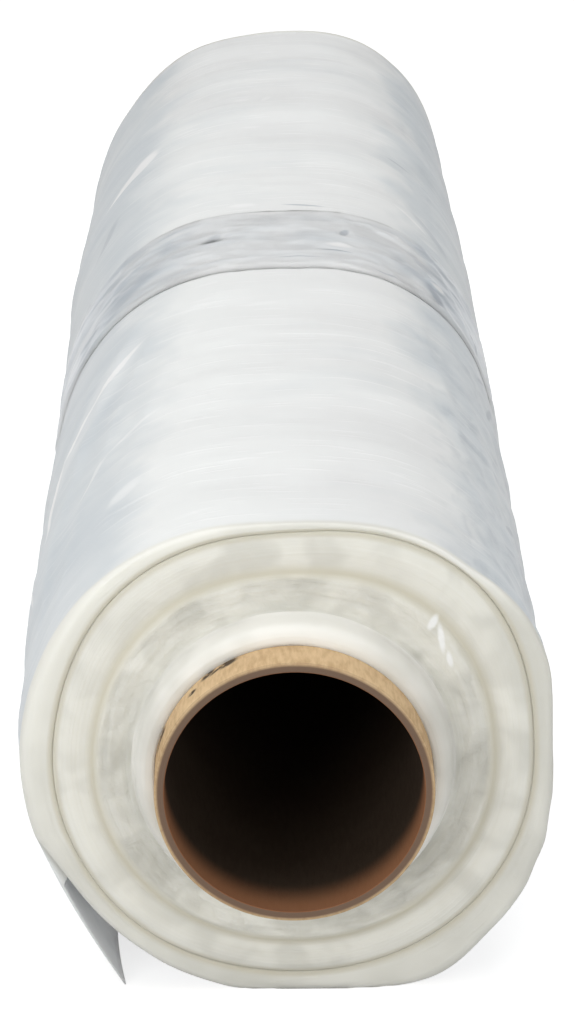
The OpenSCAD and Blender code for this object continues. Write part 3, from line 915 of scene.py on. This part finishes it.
class FILMROLL_OT_wrap(Operator):
    """Make the slack outer wrap with its loose end"""

    bl_idname = "film_roll.wrap"
    bl_label = "Loose wrap"

    def execute(self, context):
        colours = context.scene.film_roll_colours
        columns = WRAP_COLUMNS
        a = TAIL_ROOT + np.linspace(0, WRAP_TURN, columns)
        arc = np.radians(a) * WRAP_MAP_R
        rings, arcs = [], []
        marks = {"painted_side_shade": [], "rumpled": [], "pulled": [], "edge": [], "groove": []}

        def add(points, map_y, u, pulled, edge, groove):
            rings.append(points)
            arcs.append(np.stack([arc, np.broadcast_to(map_y, a.shape)], -1))
            values = {"painted_side_shade": painted_side_shade_at(u, a), "rumpled": rumpled_at(u, a), "pulled": pulled, "edge": edge,
                      "groove": groove}
            for name, value in values.items():
                marks[name].append(np.broadcast_to(value, a.shape))

        def rim(end_u, sign, first):
            """Rings from the groove at one end out to the wrap's outside."""
            inner = turn_r(TIGHT_R, a)
            outer = wrap_visual_r(np.full(columns, end_u), a)
            depth = CORNER_SHARE * slack(np.full(columns, end_u), a)
            edge_u = 0.0 if sign > 0 else FILM_W
            steps = [(share, np.full(columns, inward)) for share, inward in RIM_RINGS]
            for phi in CORNER_ANGLES:
                steps.append((CORNER_FROM + (1 - CORNER_FROM) * sin_d(phi), depth * (1 - cos_d(phi))))
            for share, inward in (steps if first else reversed(steps)):
                waviness = RIM_WAVE * RIM_WAVES(a, np.full(columns, max(share, 0))) * (share > 0.25)
                u = edge_u + sign * (inward + RIM_IN + waviness)
                r = mix(inner, outer, share)
                beige = 0.9 * (1 - smooth(r - inner, 0.7, 2.4)) * (1 - smooth(share, 0.15, 0.55))
                add(at(r, u, a), u + r - WRAP_MAP_R, u, 0.0, 1.0, beige)

        rim(RIM_AT, 1, True)
        first_body = len(rings)
        stations = np.concatenate([np.linspace(*run) for run in WRAP_RUNS])
        body = len(stations)
        depth = CORNER_SHARE * slack(np.zeros(columns), a)
        for s in stations:
            u = leaned(s, depth)
            z_min = BAND_T + BAND_FIT if BAND_START - 1 < s < BAND_END + 1 else 0.0
            sides = bulge(a, (290, 50)) + 0.6 * bulge(a, (60, 30))
            edge = 1 - smooth(min(s, FILM_W - s), 1.0, 4.5)
            pulled = sides * np.clip(1 - s / BAND_START, 0, 1)
            add(at(wrap_visual_r(u, a), u, a, z_min), u, u, pulled, edge, 0.0)
        rim(FILM_W - RIM_AT, -1, False)

        points = np.concatenate(rings)
        arcs = np.concatenate(arcs)
        quads = ring_quads(len(rings), columns,
                           lambda k, j: j == columns - 1 and first_body <= k < first_body + body - 1)

        strip, strip_arcs = strip_points(stations, depth)
        first = len(points)
        width = STRIP_IN + STRIP_OUT
        points = np.concatenate([points, strip.reshape(-1, 3)])
        arcs = np.concatenate([arcs, strip_arcs.reshape(-1, 2)])
        loose_end = {"painted_side_shade": 0.0, "rumpled": 0.35, "pulled": 0.5, "edge": 0.0, "groove": 0.0}
        marks = {name: np.concatenate(values + [np.full(len(points) - first, loose_end[name])])
                 for name, values in marks.items()}

        def strip_index(i, c):
            """Point c of the loose end's ring i: from its seat down its inside, and up its outside."""
            if c == 0:
                return (first_body + i) * columns + columns - 1
            if c == width + 1:
                return (first_body + i) * columns
            return first + i * width + c - 1

        for i in range(body - 1):
            for c in range(width + 1):
                quads.append((strip_index(i, c + 1), strip_index(i + 1, c + 1), strip_index(i + 1, c),
                              strip_index(i, c)))
        for i in (0, body - 1):
            for c in range(STRIP_IN + 1):
                other = width + 1 - c
                face = [strip_index(i, k) for k in (other, other - 1, c + 1, c)]
                quads.append(face if i == 0 else face[::-1])
        piece = mesh_piece("loose_wrap", points, quads, [milky_film(colours)], arcs,
                           2 * math.pi * WRAP_MAP_R, marks)
        show(piece, "film_roll")
        return {"FINISHED"}


def strip_points(stations, depth):
    """Rings of the loose end's strip: each goes down the inside to the tip, and back up the outside."""
    rings, arcs = [], []
    for s in stations:
        u = float(leaned(s, depth[0]))
        lift = float(np.clip((u - TAIL_FLOOR_RUN) / (BAND_START - TAIL_FLOOR_RUN), 0, 1)) ** 1.5
        free = 1 - float(drawn(np.array(u)))
        beyond = float(np.clip((u - BAND_END) / 20, 0, 1))
        thick = mix(0.7 * TAIL_T * free + STRIP_THIN, STRIP_FAR_T * free + STRIP_THIN, beyond)
        stand = mix((TAIL_T + TAIL_GAP) * free + STRIP_OFF, STRIP_FAR_OFF * free + STRIP_OFF, beyond)
        root = at(wrap_visual_r(np.array([u]), np.array([TAIL_ROOT])), u, TAIL_ROOT)[0]
        drift = TAIL_DRIFT * min(u / TAIL_FLOOR_RUN, 1) + TIP_SWAY[0] * math.sin(u / TIP_SWAY[1])
        sway = FACE_SWAY[0] * math.sin(u / FACE_SWAY[1])
        tip = np.array([-TAIL_TIP_X - drift, u - FILM_W / 2, 0.0])

        def outer(t):
            t = np.atleast_1d(t)
            down = root + (tip - root) * t[:, None]
            down[:, 0] -= TAIL_BOW * sin_d(180 * t) + sway * np.sin(3 * math.pi * t) * t
            a = mix(TAIL_ROOT, TAIL_END, t)
            lying = at(wrap_visual_r(np.full(len(t), u), a) + stand * np.minimum(t / TAIL_PART, 1), u, a)
            return down + (lying - down) * lift

        run = outer(1.0)[0] - root
        side = np.array([-run[2], 0, run[0]]) / math.hypot(run[0], run[2])
        t_in = np.linspace(TAIL_PART, 1, STRIP_IN)
        t_out = np.linspace(1, 0, STRIP_OUT + 1)[:-1]
        inside = outer(t_in) + side * thick * mix(1.0, 0.5, t_in)[:, None]
        outside = outer(t_out)
        inside[:, 2] = np.maximum(inside[:, 2], 0.1)
        outside[:, 2] = np.maximum(outside[:, 2], 0.0)
        rings.append(np.concatenate([inside, outside]))
        turn = math.radians(WRAP_MAP_R)
        length = float(np.linalg.norm(run))
        seat, start = (TAIL_ROOT + WRAP_TURN) * turn, TAIL_ROOT * turn
        across = np.concatenate([seat + length * t_in, start - length * t_out])
        arcs.append(np.stack([across, np.full(STRIP_IN + STRIP_OUT, u)], -1))
    return np.array(rings), np.array(arcs)


# Columns round the band, rings across its outside, and its creases
BAND_COLUMNS, BAND_RINGS = 360, 60
CREASES, FINE_CREASES = SoftNoise(31, 40, 9), SoftNoise(32, 90, 20)
# How far the band's edges lie inside its width, how ragged they are, and how high they and its body stand
BAND_INSET, BAND_RAGGED, BAND_EDGE_H, BAND_BODY_H = 1.0, 0.8, 0.07, 0.3
# Where the band's body starts from its edge, and over what the colour of its edge fades
BODY_RISE, THIN_FADE = (0.5, 6.0), (1.0, 13.0)
# Blisters of air under the band: angle from the top, distance behind the near end, half size in degrees, half
# size in millimetres, height
BLISTERS = (
    (14.5, 287, 6.5, 5.0, 0.6), (43, 288, 4.0, 5.0, 0.6), (43, 272, 3.5, 4.0, -0.5),
    (-19.5, 302, 4.0, 6.0, -0.4), (17, 305, 2.0, 4.0, -0.4), (-32, 320, 7.0, 5.0, 0.4),
    (57, 282, 2.0, 12.0, -0.4), (30, 320, 5.0, 5.0, 0.35),
)


def band_height(u, a):
    """How far the band's outside stands over the film: hardly at its edges, crinkled between them."""
    t = np.clip((u - BAND_START) / BAND_W, 0, 1)
    from_edge = np.minimum(t, 1 - t) * BAND_W
    body = smooth(from_edge, *BODY_RISE)
    slow = 0.5 + 0.3 * sin_d(5 * a + 700 * t) + 0.2 * sin_d(11 * a - 900 * t)
    sharp = np.abs(CREASES(a + 18 * t, t))
    crinkles = CRINKLE_H * (0.4 * slow + 0.5 * (1 - sharp) ** 2) + 0.2 * FINE_CREASES(a, t)
    blisters = 0.0
    for angle, place, half_a, half_u, height in BLISTERS:
        off = (from_top(a - angle) / half_a) ** 2 + ((u - place) / half_u) ** 2
        blisters = blisters + height * smooth(-off, -1.0, -0.15)
    return BAND_EDGE_H + body * (BAND_FIT + BAND_BODY_H + crinkles + blisters)


class FILMROLL_OT_band(Operator):
    """Make the clear band round the roll's waist"""

    bl_idname = "film_roll.band"
    bl_label = "Waist band"

    def execute(self, context):
        colours = context.scene.film_roll_colours
        a = MAP_START + np.arange(BAND_COLUMNS) * 360.0 / BAND_COLUMNS
        rings, arcs, painted_side_shade, thin = [], [], [], []

        def add(points, u):
            from_edge = np.minimum(u - BAND_START, BAND_END - u)
            from_edge = from_edge + 2.5 * CREASES(a, np.full(BAND_COLUMNS, 0.5))
            rings.append(points)
            arcs.append(np.stack([np.radians(a) * BAND_MAP_R, u], -1))
            painted_side_shade.append(painted_side_shade_at(u, a))
            thin.append(0.9 * (1 - smooth(from_edge, *THIN_FADE)))

        start, width = BAND_START + BAND_INSET, BAND_W - 2 * BAND_INSET
        near, far = (BAND_RAGGED * FINE_CREASES(a, np.full(BAND_COLUMNS, v)) for v in (0.1, 0.9))
        for t in np.linspace(0, 1, BAND_RINGS):
            u = start + width * t + near * (1 - t) - far * t
            add(at(wrap_r(u, a) + band_height(u, a), u, a), u)
        for t in (1.0, 0.5, 0.0):
            u = np.full(BAND_COLUMNS, start + width * t)
            add(at(wrap_r(u, a) + 0.02, u, a, 0.25), u)
        marks = {"painted_side_shade": np.concatenate(painted_side_shade), "thin": np.concatenate(thin)}
        piece = mesh_piece("clear_band", np.concatenate(rings), ring_quads(len(rings), BAND_COLUMNS),
                           [clear_band_film(colours)], np.concatenate(arcs), 2 * math.pi * BAND_MAP_R, marks,
                           flat_from=(BAND_RINGS - 1) * BAND_COLUMNS)
        show(piece, "waist_band")
        return {"FINISHED"}


# Studio

# The camera, fitted to the roll's outline in the photograph: place in metres, angles in degrees, and focal
# length in pixels of a frame 1024 pixels high
CAMERA_AT = (-0.0128, -1.3935, 0.552)
CAMERA_DOWN, CAMERA_ASIDE, CAMERA_ROLL = 20.18, 0.60, 0.25
FOCAL_PX, FRAME_H, SENSOR_MM = 3967.0, 1024.0, 36.0
# Lamps: name, place, where it points, width, height and power in watts
LAMPS = (
    ("softbox_over", (-0.05, 0.0, 1.5), (0.0, 0.0, 0.08), 1.2, 1.8, 15.0),
    ("softbox_front", (-0.62, -1.1, 0.38), (0.0, -0.3125, 0.076), 0.6, 0.6, 4.5),
    ("softbox_low", (0.5, -1.15, 0.2), (0.0, -0.3125, 0.076), 0.5, 0.3, 2.2),
)
WORLD_GREY = 0.36
# How bright the empty air looks to the camera: as bright as the far floor, so that no horizon shows
SKY_WHITE = 0.92
# The floor's own colour under the lamps, and the light that it adds to what the camera and reflections see
FLOOR_GREY, FLOOR_GLOW = 0.5, 0.74


def placed(right, up, back, place):
    """Matrix of an object from its own X, Y and Z directions and its place."""
    rows = [[float(v[k]) for v in (right, up, back, place)] for k in range(3)]
    return Matrix(rows + [[0.0, 0.0, 0.0, 1.0]])


def look_matrix(place, target):
    """Places a lamp so that it shines from its place to its target."""
    back = np.array(place, float) - np.array(target, float)
    back /= np.linalg.norm(back)
    right = np.cross((0, 1, 0) if abs(back[2]) > 0.9 else (0, 0, 1), back)
    right /= np.linalg.norm(right)
    return placed(right, np.cross(back, right), back, place)


def camera_matrix():
    """Places the camera, which looks along the roll and a little down and aside."""
    down, aside, roll = (math.radians(v) for v in (CAMERA_DOWN, CAMERA_ASIDE, CAMERA_ROLL))
    level = np.array([math.cos(aside), -math.sin(aside), 0.0])
    forward = np.array([math.sin(aside), math.cos(aside), 0.0])
    up = np.array([0.0, 0.0, 1.0])
    ahead = math.cos(down) * forward - math.sin(down) * up
    over = math.sin(down) * forward + math.cos(down) * up
    return placed(math.cos(roll) * level - math.sin(roll) * over,
                  math.sin(roll) * level + math.cos(roll) * over, -ahead, CAMERA_AT)


class FILMROLL_OT_stage(Operator):
    """Make the floor, the lamps, the world and the camera"""

    bl_idname = "film_roll.stage"
    bl_label = "Studio"

    def execute(self, context):
        scene = context.scene
        half = scene.film_roll_sizes.floor_size / 2
        mesh = bpy.data.meshes.new("studio_floor")
        corners = [(-half, -half, 0), (half, -half, 0), (half, half, 0), (-half, half, 0)]
        mesh.from_pydata(corners, [], [(0, 1, 2, 3)])
        mesh.materials.append(white_floor())
        floor = bpy.data.objects.new("studio_floor", mesh)
        scene.collection.objects.link(floor)
        for name, place, target, width, height, power in LAMPS:
            lamp = bpy.data.lights.new(name, "AREA")
            lamp.shape, lamp.size, lamp.size_y, lamp.energy = "RECTANGLE", width, height, power
            holder = bpy.data.objects.new(name, lamp)
            holder.matrix_world = look_matrix(place, target)
            scene.collection.objects.link(holder)
        world = bpy.data.worlds.new("studio_air")
        world.use_nodes = True
        tree = world.node_tree
        grey = tree.nodes["Background"]
        put(tree, grey.inputs["Color"], (1, 1, 1, 1))
        put(tree, grey.inputs["Strength"], WORLD_GREY)
        white = add_node(tree, "ShaderNodeBackground", {"Color": (1, 1, 1, 1), "Strength": SKY_WHITE})
        seen = tree.nodes.new("ShaderNodeLightPath").outputs["Is Camera Ray"]
        both = add_node(tree, "ShaderNodeMixShader", {"Fac": seen, 1: grey.outputs[0], 2: white.outputs[0]})
        tree.links.new(both.outputs[0], tree.nodes["World Output"].inputs["Surface"])
        scene.world = world
        scene.view_settings.view_transform = "Standard"
        camera = bpy.data.cameras.new("camera")
        camera.sensor_width = SENSOR_MM
        camera.lens = FOCAL_PX / FRAME_H * SENSOR_MM
        camera.clip_end = 20
        holder = bpy.data.objects.new("camera", camera)
        holder.matrix_world = camera_matrix()
        scene.collection.objects.link(holder)
        scene.camera = holder
        return {"FINISHED"}


OPERATORS = (FILMROLL_OT_core, FILMROLL_OT_turns, FILMROLL_OT_wrap, FILMROLL_OT_band, FILMROLL_OT_stage)


class FILMROLL_PT_panel(Panel):
    """Film roll panel"""

    bl_idname = "FILMROLL_PT_panel"
    bl_label = "Film Roll"
    bl_space_type = "VIEW_3D"
    bl_region_type = "UI"
    bl_category = "Film Roll"

    def draw(self, context):
        for group in (context.scene.film_roll_sizes, context.scene.film_roll_colours):
            box = self.layout.box()
            for key in type(group).__annotations__:
                box.prop(group, key)
        for operator in OPERATORS:
            self.layout.operator(operator.bl_idname)


CLASSES = (FilmRollColours, FilmRollSizes, *OPERATORS, FILMROLL_PT_panel)


def register():
    for c in CLASSES:
        bpy.utils.register_class(c)
    bpy.types.Scene.film_roll_colours = PointerProperty(type=FilmRollColours)
    bpy.types.Scene.film_roll_sizes = PointerProperty(type=FilmRollSizes)


def unregister():
    del bpy.types.Scene.film_roll_sizes
    del bpy.types.Scene.film_roll_colours
    for c in reversed(CLASSES):
        bpy.utils.unregister_class(c)


def main():
    register()
    bpy.ops.film_roll.core()
    bpy.ops.film_roll.turns()
    bpy.ops.film_roll.wrap()
    bpy.ops.film_roll.band()
    bpy.ops.film_roll.stage()
    bpy.context.view_layer.update()


if __name__ == "__main__":
    main()
